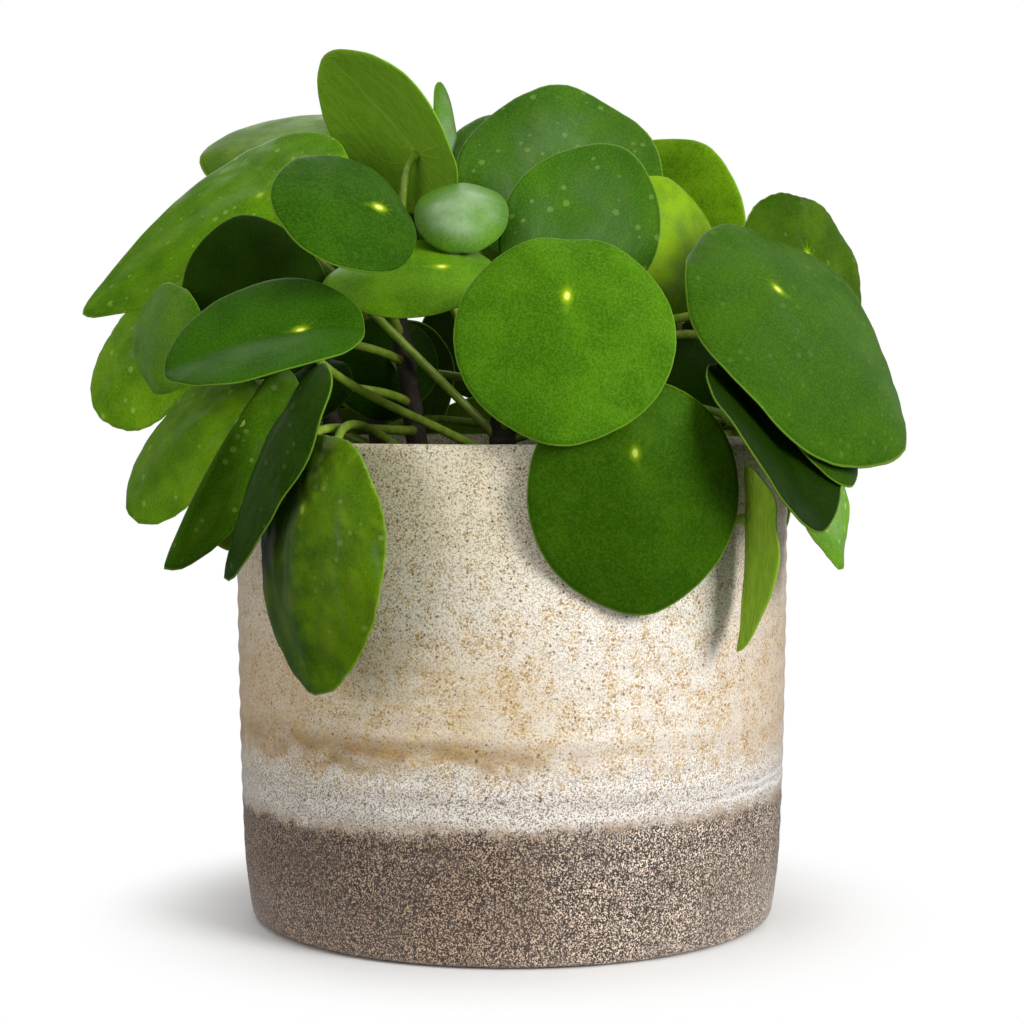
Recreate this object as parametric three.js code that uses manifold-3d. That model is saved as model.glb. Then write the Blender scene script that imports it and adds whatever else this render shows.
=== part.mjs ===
// A potted Chinese money plant: a thrown stoneware pot, filled with compost, with woody stems
// that carry round leaves, each on its own long stalk.
// Millimetres, +Z up. The origin is the middle of the pot's flat underside. The front is -Y.

import * as THREE from 'three';
import { mergeVertices } from 'three/addons/utils/BufferGeometryUtils.js';
import Module from 'manifold-3d';

const wasm = await Module();
wasm.setup();

// Driving dimensions
const POT_RADIUS = 80;
const POT_HEIGHT = 138;
const POT_WALL = 5.5;
const POT_FLOOR = 7;
const POT_SIDES = 36;
const SOIL_BELOW_RIM = 11;
const SOIL_LUMP = 1.6;
const BLADE_THICKNESS = 0.9;
const UMBO_SHARE = 0.32; // the stalk meets the blade at this share of its length from the base
const TIP_POINT = 0.05; // the tip is drawn out by this share of the blade
const TIP_SPREAD = 0.26; // and this far round it, in radians
const BASE_DIP = 0.05; // the margin is drawn in by this share at the base
const BASE_SPREAD = 0.28;
const GRID_STEP = 0.02; // a small step over the blade, from which its slope is taken
const STALK_SIDES = 5;
const STALK_STEPS = 6;
const STALK_FOOT_RADIUS = 1.4;
const STALK_TOP_RADIUS = 1.0;
const STALK_RISE = 0.08; // how far a stalk bows upward, as a share of its length
const STALK_LEAD = 0.35; // where it turns towards the blade, as a share of the way
const STALK_TUCK = 0.22; // how far it runs square to the blade, as a share of its length
const HANGING_BELOW = 150; // a leaf lower than this hangs over the rim
const OVER_RIM = 4; // height of a hanging leaf's stalk above the rim
const UNDER_BLADE = 6; // how far its stalk keeps from the blade before it turns in
const GAP = 0.3; // clearance between pieces that touch

const soilTop = POT_HEIGHT - SOIL_BELOW_RIM;

const glaze = new THREE.MeshStandardMaterial({ color: 0xcfc4b0, roughness: 0.35 });
const compost = new THREE.MeshStandardMaterial({ color: 0x2b211a, roughness: 1 });
const bark = new THREE.MeshStandardMaterial({ color: 0x6d4c36, roughness: 0.8 });
const leafGreen = new THREE.MeshStandardMaterial({ color: 0x4f7f33, roughness: 0.45 });

// Solids and meshes

function toSolid(geometry) {
  geometry.deleteAttribute('normal');
  geometry.deleteAttribute('uv');
  const merged = mergeVertices(geometry, 1e-4);
  return new wasm.Manifold(new wasm.Mesh({
    numProp: 3,
    vertProperties: new Float32Array(merged.attributes.position.array),
    triVerts: new Uint32Array(merged.index.array),
  }));
}

function toMesh(name, solid, material) {
  const { vertProperties, triVerts } = solid.getMesh();
  const geometry = new THREE.BufferGeometry();
  geometry.setAttribute('position', new THREE.BufferAttribute(vertProperties, 3));
  geometry.setIndex(new THREE.BufferAttribute(triVerts, 1));
  geometry.computeVertexNormals();
  const mesh = new THREE.Mesh(geometry, material);
  mesh.name = name;
  return mesh;
}

// A body turned round the upright axis, from its outline as radius and height
function turned(outline, sides) {
  const points = outline.map(([radius, height]) => new THREE.Vector2(radius, height));
  return new THREE.LatheGeometry(points, sides).rotateX(Math.PI / 2);
}

const degrees = THREE.MathUtils.degToRad;

// A round tapered rod whose centre follows a curve. extra makes it larger on every side.
function taperedRod(curve, footRadius, topRadius, sides, steps, extra = 0) {
  const rod = new THREE.CylinderGeometry(1, 1, 1, sides, steps);
  const frames = curve.computeFrenetFrames(steps, false);
  const place = rod.attributes.position;
  for (let i = 0; i < place.count; i += 1) {
    const share = place.getY(i) + 0.5;
    const step = Math.round(share * steps);
    const radius = THREE.MathUtils.lerp(footRadius, topRadius, share) + extra;
    const past = Math.trunc(place.getY(i) * 2) * extra;
    const point = curve.getPointAt(share)
      .addScaledVector(frames.tangents[step], past)
      .addScaledVector(frames.normals[step], -radius * place.getX(i))
      .addScaledVector(frames.binormals[step], radius * place.getZ(i));
    place.setXYZ(i, point.x, point.y, point.z);
  }
  return toSolid(rod);
}

// Pot: a straight-sided cylinder, drawn in a little towards a soft lower corner

function pot() {
  const inner = POT_RADIUS - POT_WALL;
  const outline = [
    [0, 0], [POT_RADIUS - 6, 0], [POT_RADIUS - 4.6, 0.9], [POT_RADIUS - 3.4, 6],
    [POT_RADIUS - 1.8, 18], [POT_RADIUS - 0.8, 42], [POT_RADIUS, 92],
    [POT_RADIUS, POT_HEIGHT - 1.8], [POT_RADIUS - 0.6, POT_HEIGHT - 0.5],
    [POT_RADIUS - 1.9, POT_HEIGHT], [POT_RADIUS - 3.4, POT_HEIGHT - 0.2],
    [POT_RADIUS - 4.4, POT_HEIGHT - 1.4], [inner, POT_HEIGHT - 5], [inner, 30],
    [inner - 4, 14], [inner - 14, POT_FLOOR], [0, POT_FLOOR],
  ];
  return toSolid(turned(outline, POT_SIDES));
}

// Soil: fills the pot, with a slightly uneven top and a plain hole for each stem

function soil(stemHoles) {
  const side = POT_RADIUS - POT_WALL - GAP;
  const outline = [
    [0, POT_FLOOR + GAP], [side - 14.2, POT_FLOOR + GAP], [side - 4.3, 14.4],
    [side, 30], [side, soilTop - 2], [side - 5, soilTop], [side - 18, soilTop],
    [side - 36, soilTop], [side - 54, soilTop], [0, soilTop],
  ];
  const heap = turned(outline, POT_SIDES / 2);
  const place = heap.attributes.position;
  for (let i = 0; i < place.count; i += 1) {
    const x = place.getX(i);
    const y = place.getY(i);
    const lump = SOIL_LUMP * (Math.sin(x * 0.13 + 1) * Math.cos(y * 0.17) - 0.3);
    if (place.getZ(i) > soilTop - 1) {
      place.setZ(i, place.getZ(i) + lump);
    }
  }
  return stemHoles.reduce((body, hole) => body.subtract(hole), toSolid(heap));
}

// Stems: each is a leaning woody rod, from its foot in the soil to its growing tip

const STEMS = {
  main: { foot: [-3, -4, 96], bend: [-5, -6, 140], top: [2, 2, 178], radii: [5.2, 3.4] },
  left: { foot: [-24, -2, 100], bend: [-27, -4, 140], top: [-34, 2, 178], radii: [4, 2.8] },
  outer_left: { foot: [-48, -12, 104], bend: [-49, -14, 130], top: [-54, -14, 158], radii: [3.6, 2.6] },
  right: { foot: [26, -8, 100], bend: [28, -8, 140], top: [34, -4, 172], radii: [4, 2.8] },
  outer_right: { foot: [44, 20, 100], bend: [46, 22, 140], top: [54, 26, 172], radii: [4, 2.8] },
  back: { foot: [-4, 36, 100], bend: [-4, 38, 140], top: [2, 44, 182], radii: [4, 2.8] },
  left_back: { foot: [-38, 30, 100], bend: [-40, 32, 140], top: [-46, 36, 172], radii: [4, 2.8] },
};
const LOWEST_LEAF = 0.45; // the leaves start at this share of the way up a stem
const HIGHEST_LEAF = 0.92;
const STEM_SIDES = 9;
const STEM_STEPS = 8;

for (const stem of Object.values(STEMS)) {
  stem.curve = new THREE.QuadraticBezierCurve3(
    ...[stem.foot, stem.bend, stem.top].map((point) => new THREE.Vector3(...point)));
  const rod = (extra) => taperedRod(stem.curve, ...stem.radii, STEM_SIDES, STEM_STEPS, extra);
  stem.solid = rod(0);
  stem.clearance = rod(GAP);
}

// Leaves. Each row is one leaf:
//   stem: the stem that carries it
//   at: the umbo, where the stalk meets the blade
//   face: where the upper side looks, as degrees to the right of the front and degrees up
//   tip: where the tip points in the blade's own plane, degrees from straight down, right is +
//   size: blade length and width
//   form: dome in mm, fold along the midrib and bend along the length in degrees
//   wave: height of the margin's waves in mm, and how many there are
//   and what is its own:
//   sway: how far the stalk is bent aside, where it has to pass another leaf
//   tuck: how far the stalk runs square to the blade
//   up: how far up the stem the stalk starts
//   point: how far the tip is drawn out
//   taper: how much the blade narrows towards its tip
const FRONT = { upTo: 15, spokes: 16, rings: 3 }; // leaves that stand no further back than this
const REST = { spokes: 14, rings: 2 };
const USUAL = { sway: [0, 0, 0], tuck: STALK_TUCK, point: TIP_POINT, taper: 0 };

const LEAVES = [
  // in front
  ['main', [14, -85, 176], [0, 15], -3, [54, 57], [3, 4, 4], [0.8, 5]],
  ['right', [31.5, -84, 136], [12, 0], 6, [60, 57], [3, 4, 6], [0.6, 4]],
  ['right', [71, -55, 179], [40, 35], 38, [80, 73], [5, 4, 12], [1.2, 5]],
  ['main', [15, -32, 189], [0, 12], 155, [52, 44], [2, 3, 8], [1.2, 5]],
  ['main', [-14, -38, 200], [0, 40], 180, [32, 26], [4, 4, 18], [0.3, 4]],
  ['left', [-35, -65, 200], [38, 36], -102, [41, 41], [3, 4, 10], [0.6, 4], { sway: [-16, 0, 34] }],
  ['main', [-19, -46, 185.5], [0, 57], -90, [46, 40], [2, 4, 8], [0.5, 4]],
  ['main', [-55, -72, 167.5], [-13, 47], -76, [54, 40], [3, -18, 8], [0.5, 4],
    { up: 0.41, sway: [0, 0, -7] }],
  ['left', [-58, -90.5, 143.5], [-62, 20], -30, [62, 30], [2, 10, 8], [0.5, 4],
    { up: 0.51, taper: 0.3, point: 0.12 }],
  ['left', [-53, -92, 122], [-45, 5], -4, [64, 50], [3, 10, 12], [0.6, 5], { up: 0.4, point: 0.12 }],
  // at the left
  ['main', [-71, -20, 207], [-24, 28], -57, [88, 52], [2, 10, 4], [1.0, 4],
    { up: 0.48, sway: [0, 0, -8], taper: 0.9 }],
  ['left', [-67, -43, 169.5], [19, 10], -172, [46, 42], [2, 5, 8], [0.5, 4]],
  ['outer_left', [-95, -46, 172], [-50, 10], -15, [30, 38], [2, 6, 8], [0.5, 4]],
  ['outer_left', [-104, 3, 165], [-30, 15], -50, [42, 38], [2, 4, 8], [0.8, 5]],
  ['outer_left', [-85, -29, 145], [-38, 26], -42, [54, 36], [2, 5, 10], [0.8, 5]],
  ['outer_left', [-72, -67, 144], [-30, 20], -26, [62, 34], [1, 48, 10], [0.6, 5], { taper: 0.4 }],
  ['left', [-53, -35, 157], [-10, 40], -30, [24, 22], [2, 4, 8], [0.5, 4]],
  ['left', [-38, 14, 166], [0, 30], 0, [34, 32], [2, 4, 8], [0.5, 4]],
  ['left_back', [-48, 26, 226], [0, 55], -94, [66, 54], [2, 4, 8], [0.8, 4]],
  ['left', [-27, -4, 220], [135, 27], 155, [54, 46], [2, 8, 8], [0.6, 4]],
  ['main', [-19, 22, 227], [50, 10], 170, [27, 10], [1, 6, 8], [0.4, 4], { up: 0.84 }],
  // at the right
  ['outer_right', [84, -14, 190], [40, 10], -6, [62, 54], [2, 4, 8], [0.6, 7]],
  ['right', [63, -68, 147], [52, 35], 12, [52, 46], [1, -12, 8], [0.6, 4], { sway: [0, 0, 4] }],
  ['right', [74.5, -55, 158], [52, 35], 12, [50, 40], [2, 3, 8], [0.5, 4],
    { sway: [0, 0, 20], tuck: 0.06, taper: 0.2 }],
  ['right', [84, -41, 138], [60, 20], 0, [47, 42], [2, 6, 8], [0.6, 7], { taper: 0.3, point: 0.12 }],
  ['right', [62, -66, 118], [100, 0], 0, [46, 25], [1, -35, 2], [0.6, 5], { taper: 0.3, point: 0.12 }],
  ['right', [48, 0, 160], [10, 30], 0, [36, 36], [2, 4, 8], [0.5, 4]],
  ['outer_right', [47, -4, 187], [45, 10], 165, [42, 52], [2, 4, 8], [0.6, 4]],
  ['outer_right', [41, 40, 196.5], [-25, 0], 150, [50, 54], [2, 4, 8], [0.8, 4]],
  // behind, at the top
  ['main', [13, 8, 206], [0, 20], 175, [60, 62], [2, 4, 8], [1.6, 6]],
  ['back', [-5, 28, 212], [-10, 30], -170, [46, 42], [2, 4, 8], [0.6, 4]],
  ['back', [36, 68, 210], [155, 50], 0, [58, 56], [3, 4, 10], [0.8, 4]],
  ['back', [-7, 66, 222], [-175, 50], 10, [54, 50], [3, 4, 10], [0.8, 5]],
  ['left_back', [-40, 58, 206], [-145, 50], -10, [54, 50], [3, 4, 10], [0.8, 4]],
  // behind, round the rim
  ['outer_right', [90, 32, 172], [100, 35], 0, [58, 56], [3, 4, 12], [1.0, 5]],
  ['outer_right', [70, 80, 170], [135, 35], 10, [60, 58], [3, 4, 12], [0.8, 4]],
  ['back', [43, 92, 166], [160, 30], -10, [50, 46], [3, 4, 12], [0.8, 5]],
  ['back', [-4, 94, 178], [180, 35], 0, [46, 54], [3, 4, 12], [1.0, 4]],
  ['back', [-42, 88, 163], [-160, 30], 10, [56, 52], [3, 4, 12], [0.8, 5]],
  ['left_back', [-76, 68, 178], [-130, 35], -5, [60, 58], [3, 4, 12], [0.8, 4]],
  ['left_back', [-90, 32, 164], [-100, 30], 5, [52, 50], [3, 4, 12], [1.0, 5]],
  ['outer_right', [94, 6, 142], [90, 10], 0, [40, 38], [2, 4, 10], [0.6, 4]],
  ['outer_right', [78, 62, 134], [120, 15], 5, [50, 46], [3, 5, 12], [0.8, 5]],
  ['back', [46, 86, 132], [155, 10], 0, [52, 46], [3, 5, 12], [0.8, 4]],
  ['back', [-56, 87, 132], [-150, 12], -8, [52, 46], [3, 5, 12], [0.8, 5]],
  ['back', [-8, 109, 135], [180, 10], 4, [52, 52], [3, 5, 12], [0.8, 5]],
  ['left_back', [-88, 54, 136], [-120, 15], 0, [48, 44], [3, 5, 12], [0.8, 4]],
].map(([stem, at, face, tip, size, form, wave, own]) => (
  { ...USUAL, stem, at, face, tip, size, form, wave, ...own }));

// The lower a leaf hangs, the lower on its stem it grows
for (const name of Object.keys(STEMS)) {
  const own = LEAVES.filter((leaf) => leaf.stem === name).sort((a, b) => a.at[2] - b.at[2]);
  own.forEach((leaf, rank) => {
    leaf.up ??= THREE.MathUtils.lerp(LOWEST_LEAF, HIGHEST_LEAF, rank / (own.length - 1));
  });
}

// Directions of a leaf: out of its upper face, towards its tip and across it
function leafAxes(leaf) {
  const [turn, raise] = leaf.face.map(degrees);
  const roll = degrees(leaf.tip);
  const face = new THREE.Vector3(
    Math.cos(raise) * Math.sin(turn), -Math.cos(raise) * Math.cos(turn), Math.sin(raise));
  const down = new THREE.Vector3(
    Math.sin(raise) * Math.sin(turn), -Math.sin(raise) * Math.cos(turn), -Math.cos(raise));
  const right = new THREE.Vector3(Math.cos(turn), Math.sin(turn), 0);
  const tip = down.multiplyScalar(Math.cos(roll)).addScaledVector(right, Math.sin(roll));
  const across = new THREE.Vector3().crossVectors(face, tip);
  return { face, tip, across };
}

// Distance from the umbo to the blade's edge, in the direction angle from the tip
function edgeDistance(leaf, angle) {
  const [length, width] = leaf.size;
  const shift = length * (0.5 - UMBO_SHARE);
  const a = (Math.cos(angle) / (length / 2)) ** 2 + (Math.sin(angle) / (width / 2)) ** 2;
  const b = -2 * Math.cos(angle) * shift / (length / 2) ** 2;
  const c = (shift / (length / 2)) ** 2 - 1;
  const round = (-b + Math.sqrt(b * b - 4 * a * c)) / (2 * a);
  const fromBase = Math.PI - Math.abs(angle);
  const point = leaf.point * Math.exp(-((angle / TIP_SPREAD) ** 2));
  const dip = BASE_DIP * Math.exp(-((fromBase / BASE_SPREAD) ** 2));
  return round * (1 + point - dip);
}

// A point of the blade's middle surface, in the leaf's own axes
function bladePoint(leaf, share, angle) {
  const [dome, fold, bend] = leaf.form;
  const [waveHeight, waveCount] = leaf.wave;
  const distance = share * edgeDistance(leaf, angle);
  const along = distance * Math.cos(angle);
  const narrowed = 1 - leaf.taper * Math.max(0, along) / leaf.size[0];
  const side = distance * Math.sin(angle) * narrowed;
  const folded = degrees(fold);
  const turn = degrees(bend) * along / leaf.size[0];
  const waved = waveHeight * share ** 3 * Math.sin(waveCount * angle + leaf.at[0]);
  const height = waved - dome * share ** 2 - Math.abs(side) * Math.sin(folded);
  return new THREE.Vector3(
    along * Math.cos(turn) + height * Math.sin(turn),
    side * Math.cos(folded),
    height * Math.cos(turn) - along * Math.sin(turn));
}

function bladeSolid(leaf, spokes, rings) {
  const { face, tip, across } = leafAxes(leaf);
  const origin = new THREE.Vector3(...leaf.at);
  const points = [];
  const addPoint = (share, angle, lift) => {
    const here = bladePoint(leaf, share, angle);
    const outward = bladePoint(leaf, share + GRID_STEP, angle).sub(here);
    const around = bladePoint(leaf, share, angle + GRID_STEP).sub(here);
    const normal = share > 0 ? outward.cross(around).normalize() : new THREE.Vector3(0, 0, 1);
    here.addScaledVector(normal, lift);
    const placed = origin.clone().addScaledVector(tip, here.x)
      .addScaledVector(across, here.y).addScaledVector(face, here.z);
    points.push(placed.x, placed.y, placed.z);
  };
  for (const lift of [BLADE_THICKNESS / 2, -BLADE_THICKNESS / 2]) {
    addPoint(0, 0, lift);
    for (let ring = 1; ring <= rings; ring += 1) {
      for (let spoke = 0; spoke < spokes; spoke += 1) {
        const angle = Math.PI - (2 * Math.PI * spoke) / spokes;
        addPoint(ring / rings, -angle, lift);
      }
    }
  }
  const bottom = 1 + rings * spokes;
  const corner = (ring, spoke) => 1 + (ring - 1) * spokes + (spoke % spokes);
  const faces = [];
  const addBoth = (a, b, c) => {
    faces.push(a, b, c);
    faces.push(bottom + a, bottom + c, bottom + b);
  };
  for (let spoke = 0; spoke < spokes; spoke += 1) {
    addBoth(0, corner(1, spoke), corner(1, spoke + 1));
    for (let ring = 1; ring < rings; ring += 1) {
      addBoth(corner(ring, spoke), corner(ring + 1, spoke), corner(ring + 1, spoke + 1));
      addBoth(corner(ring, spoke), corner(ring + 1, spoke + 1), corner(ring, spoke + 1));
    }
    const near = corner(rings, spoke);
    const far = corner(rings, spoke + 1);
    faces.push(near, bottom + near, bottom + far);
    faces.push(near, bottom + far, far);
  }
  const geometry = new THREE.BufferGeometry();
  geometry.setAttribute('position', new THREE.BufferAttribute(new Float32Array(points), 3));
  geometry.setIndex(faces);
  return toSolid(geometry);
}

// The stalk leaves its stem towards the leaf, a little upward, and comes to the umbo from under
// the blade. One that hangs its leaf outside the pot bends over the rim.
function stalkCurve(leaf) {
  const end = new THREE.Vector3(...leaf.at);
  const start = STEMS[leaf.stem].curve.getPointAt(leaf.up);
  const reach = end.clone().sub(start);
  const length = reach.length();
  const sway = new THREE.Vector3(...leaf.sway);
  const { face } = leafAxes(leaf);
  if (end.z < HANGING_BELOW && Math.hypot(end.x, end.y) > POT_RADIUS) {
    const level = reach.clone().setZ(0).normalize();
    const across = start.x * level.x + start.y * level.y;
    const offset = start.x ** 2 + start.y ** 2 - (POT_RADIUS - POT_WALL / 2) ** 2;
    const toRim = Math.sqrt(across * across - offset) - across;
    const overRim = start.clone().addScaledVector(level, toRim).setZ(POT_HEIGHT + OVER_RIM);
    const underBlade = end.clone().addScaledVector(face, -UNDER_BLADE);
    return new THREE.CatmullRomCurve3([start, overRim.add(sway), underBlade, end]);
  }
  const leave = start.clone().addScaledVector(reach, STALK_LEAD).add(sway);
  leave.z += length * STALK_RISE;
  const arrive = end.clone().addScaledVector(face, -length * leaf.tuck);
  return new THREE.CubicBezierCurve3(start, leave, arrive, end);
}

function leafSolid(leaf) {
  const { spokes, rings } = leaf.at[1] < FRONT.upTo ? FRONT : REST;
  const blade = bladeSolid(leaf, spokes, rings);
  const stalk = taperedRod(
    stalkCurve(leaf), STALK_FOOT_RADIUS, STALK_TOP_RADIUS, STALK_SIDES, STALK_STEPS);
  return blade.add(stalk).subtract(STEMS[leaf.stem].clearance);
}

const plant = new THREE.Group();
plant.add(toMesh('pot', pot(), glaze));
plant.add(toMesh('soil', soil(Object.values(STEMS).map((stem) => stem.clearance)), compost));
for (const [name, stem] of Object.entries(STEMS)) {
  plant.add(toMesh(`stem_${name}`, stem.solid, bark));
}
LEAVES.forEach((leaf, index) => {
  const number = String(index + 1).padStart(2, '0');
  plant.add(toMesh(`leaf_${number}`, leafSolid(leaf), leafGreen));
});

export default plant;
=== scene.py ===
"""A potted Chinese money plant: a speckled stoneware pot of compost, woody stems and round leaves.

+Z is up and the front is -Y. Sizes in the sections below are in millimetres unless they say
otherwise, and each new mesh is brought to metres as it is made.
"""

import math

import bpy
import numpy as np
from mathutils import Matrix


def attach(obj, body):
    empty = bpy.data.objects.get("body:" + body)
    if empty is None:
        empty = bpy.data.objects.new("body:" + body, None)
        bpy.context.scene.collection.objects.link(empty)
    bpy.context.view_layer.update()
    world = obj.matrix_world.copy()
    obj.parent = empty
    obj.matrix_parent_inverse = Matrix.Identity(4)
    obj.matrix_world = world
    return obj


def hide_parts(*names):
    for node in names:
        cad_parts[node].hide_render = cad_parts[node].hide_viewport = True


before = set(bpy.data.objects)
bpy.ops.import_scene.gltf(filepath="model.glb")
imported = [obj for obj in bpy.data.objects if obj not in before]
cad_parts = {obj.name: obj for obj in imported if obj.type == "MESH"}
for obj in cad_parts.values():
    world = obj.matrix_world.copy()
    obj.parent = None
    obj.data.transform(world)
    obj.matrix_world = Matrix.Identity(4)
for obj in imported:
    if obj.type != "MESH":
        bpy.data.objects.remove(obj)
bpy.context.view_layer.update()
MM = 0.001


# ---- Camera ----
# The photograph was taken from just above the rim, looking slightly down. The pot is 16 cm wide,
# so the lens stood about 0.7 m from it.

CAMERA_HEIGHT = 0.1516
CAMERA_DISTANCE = 0.680
CAMERA_PITCH = 2.95
LENS = 81.9

camera_data = bpy.data.cameras.new("camera")
camera_data.lens = LENS
camera_data.sensor_width = 36
camera = bpy.data.objects.new("camera", camera_data)
camera.location = (0, -CAMERA_DISTANCE, CAMERA_HEIGHT)
camera.rotation_euler = (math.radians(90 - CAMERA_PITCH), 0, 0)
bpy.context.collection.objects.link(camera)
bpy.context.scene.camera = camera


# ---- Pot ----
# One thrown stoneware cylinder, closed at the bottom, with shallow throwing rings in its wall.
# The body is turned from one profile, 5.5 mm thick, with a soft lip and a tucked-in foot.

POT_RADIUS = 80
POT_HEIGHT = 138
POT_WALL = 5.5
POT_FLOOR = 7
POT_SIDES = 200
RING_DEPTH = 0.18
RING_PITCH = 6.5


def new_piece(name, points, faces, materials=(), edges=()):
    """A smooth mesh object, from points in millimetres."""
    mesh = bpy.data.meshes.new(name)
    mesh.from_pydata((np.asarray(points) * MM).tolist(), edges, faces)
    for material in materials:
        mesh.materials.append(material)
    mesh.polygons.foreach_set("use_smooth", [True] * len(mesh.polygons))
    mesh.update()
    piece = bpy.data.objects.new(name, mesh)
    bpy.context.collection.objects.link(piece)
    return piece


def rounded(corners, step):
    """Points every step millimetres along a path that is eased at each corner."""
    path = np.asarray(corners, float)
    for _ in range(3):
        start, end = path[:-1], path[1:]
        cuts = np.stack([start * 0.8 + end * 0.2, start * 0.2 + end * 0.8], 1).reshape(-1, 2)
        path = np.vstack([path[:1], cuts, path[-1:]])
    length = np.concatenate([[0], np.cumsum(np.linalg.norm(np.diff(path, axis=0), axis=1))])
    at = np.arange(0, length[-1], step)
    return np.stack([np.interp(at, length, path[:, 0]), np.interp(at, length, path[:, 1])], 1)


def turned(profile, sides):
    """Points and faces of a closed body turned round the upright axis, from its foot's middle."""
    angles = np.arange(sides) * 2 * math.pi / sides
    ring = np.stack([np.sin(angles), -np.cos(angles)], 1)
    points = [np.column_stack([radius * ring, np.full(sides, height)]) for radius, height in profile]
    points.append([[0, 0, profile[0][1]], [0, 0, profile[-1][1]]])
    last = (len(profile) - 1) * sides
    under = last + sides
    faces = []
    for side in range(sides):
        beside = (side + 1) % sides
        for row in range(0, last, sides):
            faces.append((row + side, row + beside, row + sides + beside, row + sides + side))
        faces.append((under, beside, side))
        faces.append((under + 1, last + side, last + beside))
    return np.concatenate(points), faces


inner = POT_RADIUS - POT_WALL
pot_profile = rounded([
    (1, 0), (POT_RADIUS - 7, 0), (POT_RADIUS - 4.2, 0.8), (POT_RADIUS - 3.2, 7),
    (POT_RADIUS - 1.8, 18), (POT_RADIUS - 0.8, 42), (POT_RADIUS, 92),
    (POT_RADIUS, POT_HEIGHT - 1.2), (POT_RADIUS - 1.2, POT_HEIGHT + 0.1),
    (POT_RADIUS - 3.4, POT_HEIGHT), (inner, POT_HEIGHT - 4), (inner, 30),
    (inner - 4, 13), (inner - 14, POT_FLOOR), (1, POT_FLOOR),
], step=0.9)
pot_points, pot_faces = turned(pot_profile, POT_SIDES)
height = pot_points[:, 2]
around = np.arctan2(pot_points[:, 0], -pot_points[:, 1])
radius = np.hypot(pot_points[:, 0], pot_points[:, 1])
drift = 0.6 * np.sin(around + 0.05 * height) + 0.4 * np.sin(2 * around + 1.3 - 0.03 * height)
ridges = np.sin(2 * math.pi * (height + 2.2 * drift) / RING_PITCH) * (0.6 + 0.4 * drift)
on_wall = np.clip((height - 10) / 20, 0, 1) * np.clip((POT_HEIGHT - 4 - height) / 20, 0, 1)
inward = RING_DEPTH * (ridges - 1) * on_wall * (radius > inner + 1)
pot_points[:, :2] *= (1 + inward / np.maximum(radius, 1))[:, None]


# ---- Glaze ----
# The glaze is sandy near the lip and cream with golden grains in the middle, with ochre bands and
# a milky edge above a bare, dark, grainy clay foot. Satin gloss, rougher on the foot.

FOOT_LINE = 0.0360  # height of the foot's upper edge, in metres as every distance in the materials
FOOT_SLOPE = 0.022  # how fast that edge rises to the right


def plug(tree, socket, value):
    """Links another socket to a node's input, or sets the input to a plain value."""
    if isinstance(value, bpy.types.NodeSocket):
        tree.links.new(value, socket)
    else:
        socket.default_value = value


def put(tree, kind, inputs=None, **settings):
    """A node. Its settings are options of its own; its inputs are values or sockets."""
    made = tree.nodes.new(kind)
    for name, value in settings.items():
        setattr(made, name, value)
    for name, value in (inputs or {}).items():
        plug(tree, made.inputs[name], value)
    return made


def maths(tree, operation, *values):
    return put(tree, "ShaderNodeMath", dict(enumerate(values)), operation=operation).outputs[0]


def times(tree, *values):
    """All the values multiplied together."""
    product = values[0]
    for value in values[1:]:
        product = maths(tree, "MULTIPLY", product, value)
    return product


def weighed(tree, *parts):
    """The sum of values, each times its weight."""
    total = 0.0
    for value, weight in parts:
        total = maths(tree, "MULTIPLY_ADD", value, weight, total)
    return total


def gap(tree, first, second):
    """How far apart two values are."""
    return maths(tree, "ABSOLUTE", maths(tree, "SUBTRACT", first, second))


def moved(tree, value, pattern, amount):
    """A value moved either way by a pattern that runs from 0 to 1, by half the amount at most."""
    return maths(tree, "MULTIPLY_ADD", maths(tree, "SUBTRACT", pattern, 0.5), amount, value)


def vector_maths(tree, operation, first, second):
    """As maths, for two vectors, or for a vector and a number where it is scaled."""
    other = "Scale" if operation == "SCALE" else 1
    return put(tree, "ShaderNodeVectorMath", {0: first, other: second}, operation=operation).outputs[0]


def split(tree, vector):
    return put(tree, "ShaderNodeSeparateXYZ", {"Vector": vector}).outputs


def length_of(tree, vector):
    return put(tree, "ShaderNodeVectorMath", {0: vector}, operation="LENGTH").outputs["Value"]


def fade(tree, value, start, end, low=0.0, high=1.0):
    """Goes smoothly from low to high while value goes from start to end."""
    inputs = {"Value": value, "From Min": start, "From Max": end, "To Min": low, "To Max": high}
    return put(tree, "ShaderNodeMapRange", inputs, interpolation_type="SMOOTHSTEP").outputs["Result"]


def noise(tree, vector, scale, detail=3.0, stretch=None):
    """Soft noise from 0 to 1, with scale features to the unit."""
    if stretch:
        vector = put(tree, "ShaderNodeMapping", {"Vector": vector, "Scale": stretch}).outputs[0]
    inputs = {"Vector": vector, "Scale": scale, "Detail": detail}
    return put(tree, "ShaderNodeTexNoise", inputs).outputs["Fac"]


def rolled(tree, vector, scale):
    """Three random values for each cell of a grid, called Red, Green and Blue."""
    cells = put(tree, "ShaderNodeTexVoronoi", {"Vector": vector, "Scale": scale})
    return put(tree, "ShaderNodeSeparateColor", {"Color": cells.outputs["Color"]}).outputs


def bumped(tree, height, strength, depth):
    """The normal of relief too fine for the mesh."""
    inputs = {"Height": height, "Strength": strength, "Distance": depth}
    return put(tree, "ShaderNodeBump", inputs).outputs[0]


def screen(red, green, blue):
    """A colour as a screen shows it, 0 to 255, made linear."""
    linear = [((part / 255 + 0.055) / 1.055) ** 2.4 for part in (red, green, blue)]
    return (*linear, 1)


def mixed(tree, factor, first, second, way="MIX"):
    """The second colour over the first one."""
    inputs = {0: factor, 6: first, 7: second}
    return put(tree, "ShaderNodeMix", data_type="RGBA", blend_type=way, inputs=inputs).outputs[2]


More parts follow.
